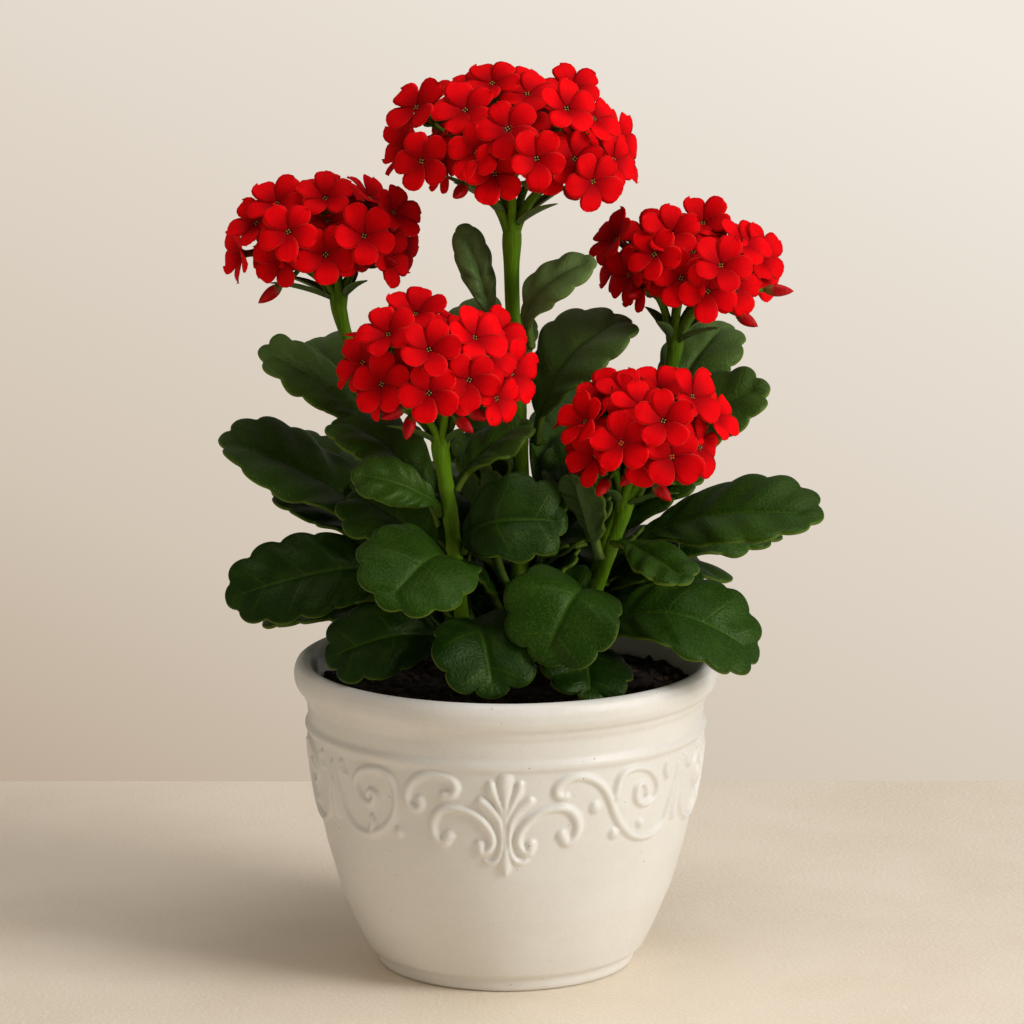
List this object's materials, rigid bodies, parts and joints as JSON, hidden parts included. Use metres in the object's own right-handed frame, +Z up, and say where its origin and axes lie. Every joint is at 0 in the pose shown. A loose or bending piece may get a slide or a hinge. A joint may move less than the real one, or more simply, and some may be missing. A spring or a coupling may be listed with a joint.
{
  "type": "potted kalanchoe",
  "caption": "Red-flowered kalanchoe with scalloped fleshy leaves, standing in a round glazed pot with a raised scroll border",
  "frame": {"origin": "centre of the pot's underside, on the surface it stands on", "axes": "+Z up along the pot's axis, the front of the plant faces -Y, +X to its right"},
  "size_m": [0.1973, 0.1644, 0.302],
  "materials": {
    "glaze": "satin off-white glaze",
    "soil": "dark crumbly potting soil",
    "stalk": "smooth green stem",
    "petals": "velvety red petals",
    "leaf": "waxy dark green leaf"
  },
  "bodies": {
    "root": {"pot": "glaze", "soil": "soil", "flower_stalk_1": "stalk", "flower_stalk_2": "stalk", "flower_stalk_3": "stalk", "flower_stalk_4": "stalk", "flower_stalk_5": "stalk", "flower_head_1": "petals", "flower_head_2": "petals", "flower_head_3": "petals", "flower_head_4": "petals", "flower_head_5": "petals", "leaf_01": "leaf", "leaf_02": "leaf", "leaf_03": "leaf", "leaf_04": "leaf", "leaf_05": "leaf", "leaf_06": "leaf", "leaf_07": "leaf", "leaf_08": "leaf", "leaf_09": "leaf", "leaf_10": "leaf", "leaf_11": "leaf", "leaf_12": "leaf", "leaf_13": "leaf", "leaf_14": "leaf", "leaf_15": "leaf", "leaf_16": "leaf", "leaf_17": "leaf", "leaf_18": "leaf", "leaf_19": "leaf", "leaf_20": "leaf", "leaf_21": "leaf", "leaf_22": "leaf", "leaf_23": "leaf", "leaf_24": "leaf", "leaf_25": "leaf", "leaf_26": "leaf", "leaf_27": "leaf", "leaf_28": "leaf", "leaf_29": "leaf", "leaf_30": "leaf", "leaf_31": "leaf", "leaf_32": "leaf", "leaf_33": "leaf", "leaf_34": "leaf", "leaf_35": "leaf", "leaf_36": "leaf", "leaf_37": "leaf", "leaf_38": "leaf", "leaf_39": "leaf", "leaf_40": "leaf", "leaf_41": "leaf", "leaf_42": "leaf", "leaf_43": "leaf", "leaf_44": "leaf", "leaf_45": "leaf", "leaf_46": "leaf"}
  },
  "joints": []
}
